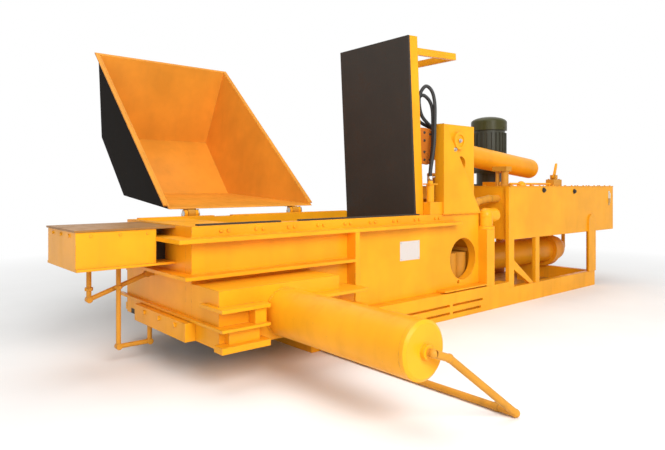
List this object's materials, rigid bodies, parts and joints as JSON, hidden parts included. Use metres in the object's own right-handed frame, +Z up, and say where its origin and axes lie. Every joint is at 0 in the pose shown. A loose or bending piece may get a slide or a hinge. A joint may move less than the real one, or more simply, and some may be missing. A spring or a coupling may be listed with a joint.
{
  "type": "recycling baler",
  "caption": "Hydraulic scrap metal baling press with a folding lid, tipping feed hopper, main and side rams, bale gate and a motor driven power pack on a tank.",
  "frame": {"origin": "on the ground under the machine's long axis, at the front face of the side rib", "axes": "+X along the machine towards the power pack, +Y towards the feed hopper, +Z up"},
  "size_m": [8.058, 5.9038, 3.2351],
  "materials": {
    "yellow_paint": "semi-gloss machine enamel, a little dusty",
    "ochre_paint": "worn ochre enamel",
    "dark_steel": "dark scale and grease, worn",
    "bright_steel": "ground and polished",
    "olive_paint": "dark olive enamel",
    "hose_rubber": "matte black rubber",
    "gauge_plastic": "clear plastic tube in a metal holder"
  },
  "bodies": {
    "frame": {"base_frame": "yellow_paint", "base_tray": "ochre_paint", "box_floor": "dark_steel", "near_wall": "yellow_paint", "far_wall": "yellow_paint", "end_wall": "yellow_paint", "ram_roof": "ochre_paint", "chamber_cover": "yellow_paint", "upper_ring": "yellow_paint", "mid_ring": "yellow_paint", "shear_blades": "dark_steel", "blade_bolts": "yellow_paint", "body_end_plate": "yellow_paint", "end_beam": "yellow_paint", "side_housing": "yellow_paint", "side_barrel": "yellow_paint", "side_end_cap": "yellow_paint", "side_pipe": "ochre_paint", "lock_housing": "yellow_paint", "lock_cover": "ochre_paint", "lock_cylinder": "yellow_paint", "lock_pipes": "ochre_paint", "uprights": "yellow_paint", "hose_near": "hose_rubber", "hose_far": "hose_rubber", "main_barrel": "yellow_paint", "main_end_cap": "yellow_paint", "tank_shell": "yellow_paint", "tank_cover": "yellow_paint", "tank_gauge": "gauge_plastic", "tank_plugs": "dark_steel", "pack_posts": "yellow_paint", "motor_body": "olive_paint", "motor_cowl": "olive_paint", "bell_housing": "ochre_paint", "pump_pipes": "ochre_paint", "valve_block": "dark_steel", "hopper_brackets": "yellow_paint", "hopper_pins": "bright_steel", "hopper_outrigger": "yellow_paint", "gate_rails": "yellow_paint", "gate_barrel": "yellow_paint"},
    "lid": {"lid_shell": "yellow_paint", "lid_wear_plate": "dark_steel", "lid_shaft": "bright_steel", "lid_levers": "ochre_paint", "lid_hoop": "yellow_paint"},
    "lid_barrel": {"lid_barrel": "yellow_paint"},
    "lid_rod": {"lid_rod": "bright_steel"},
    "hopper": {"hopper_shell": "yellow_paint", "hopper_knuckles": "ochre_paint"},
    "hopper_barrel": {"hopper_barrel": "yellow_paint"},
    "hopper_rod": {"hopper_rod": "bright_steel"},
    "main_ram": {"main_ram": "ochre_paint", "main_rod": "bright_steel"},
    "side_ram": {"side_ram": "dark_steel", "side_rod": "bright_steel"},
    "lock_bolt": {"lock_bolt": "dark_steel"},
    "gate": {"gate": "dark_steel"},
    "control_lever": {"control_lever": "yellow_paint"}
  },
  "joints": [
    {"name": "lid_hinge", "type": "hinge", "parent": "frame", "child": "lid", "pos_m": [1.22, 0, 0.851], "axis": [0, -1, 0], "range_deg": [0, 86.8]},
    {"name": "lid_cylinder_swing", "type": "hinge", "parent": "frame", "child": "lid_barrel", "pos_m": [1.68, 0, 2.03], "axis": [0, -1, 0], "range_deg": [0, 36.6]},
    {"name": "lid_rod_slide", "type": "slide", "parent": "lid_barrel", "child": "lid_rod", "axis": [-0.9955, 0, 0.0944], "range_m": [0, 1.589]},
    {"name": "hopper_hinge", "type": "hinge", "parent": "frame", "child": "hopper", "pos_m": [-0.35, 0.7, 1.215], "axis": [1, 0, 0], "range_deg": [0, 78]},
    {"name": "hopper_cylinder_swing", "type": "hinge", "parent": "frame", "child": "hopper_barrel", "pos_m": [-0.44, 0.93, 0.38], "axis": [1, 0, 0], "range_deg": [0, 50.72]},
    {"name": "hopper_rod_slide", "type": "slide", "parent": "hopper_barrel", "child": "hopper_rod", "axis": [0, 0.7626, 0.6468], "range_m": [0, 0.7173]},
    {"name": "main_ram_slide", "type": "slide", "parent": "frame", "child": "main_ram", "axis": [-1, 0, 0], "range_m": [0, 1.62]},
    {"name": "side_ram_slide", "type": "slide", "parent": "frame", "child": "side_ram", "axis": [0, 1, 0], "range_m": [0, 1.05]},
    {"name": "lock_bolt_slide", "type": "slide", "parent": "frame", "child": "lock_bolt", "axis": [1, 0, 0], "range_m": [0, 0.3]},
    {"name": "gate_slide", "type": "slide", "parent": "frame", "child": "gate", "axis": [1, 0, 0], "range_m": [0, 1.1]},
    {"name": "control_lever_hinge", "type": "hinge", "parent": "frame", "child": "control_lever", "pos_m": [3.85, -0.7, 1.627], "axis": [0, 1, 0], "range_deg": [-40, 0]}
  ],
  "couplings": [
    {"joint": "lid_cylinder_swing", "follows": "lid_hinge", "ratio": 0.42148},
    {"joint": "lid_rod_slide", "follows": "lid_hinge", "m_per_rad": 1.0487},
    {"joint": "hopper_cylinder_swing", "follows": "hopper_hinge", "ratio": 0.65003},
    {"joint": "hopper_rod_slide", "follows": "hopper_hinge", "m_per_rad": 0.52686}
  ]
}
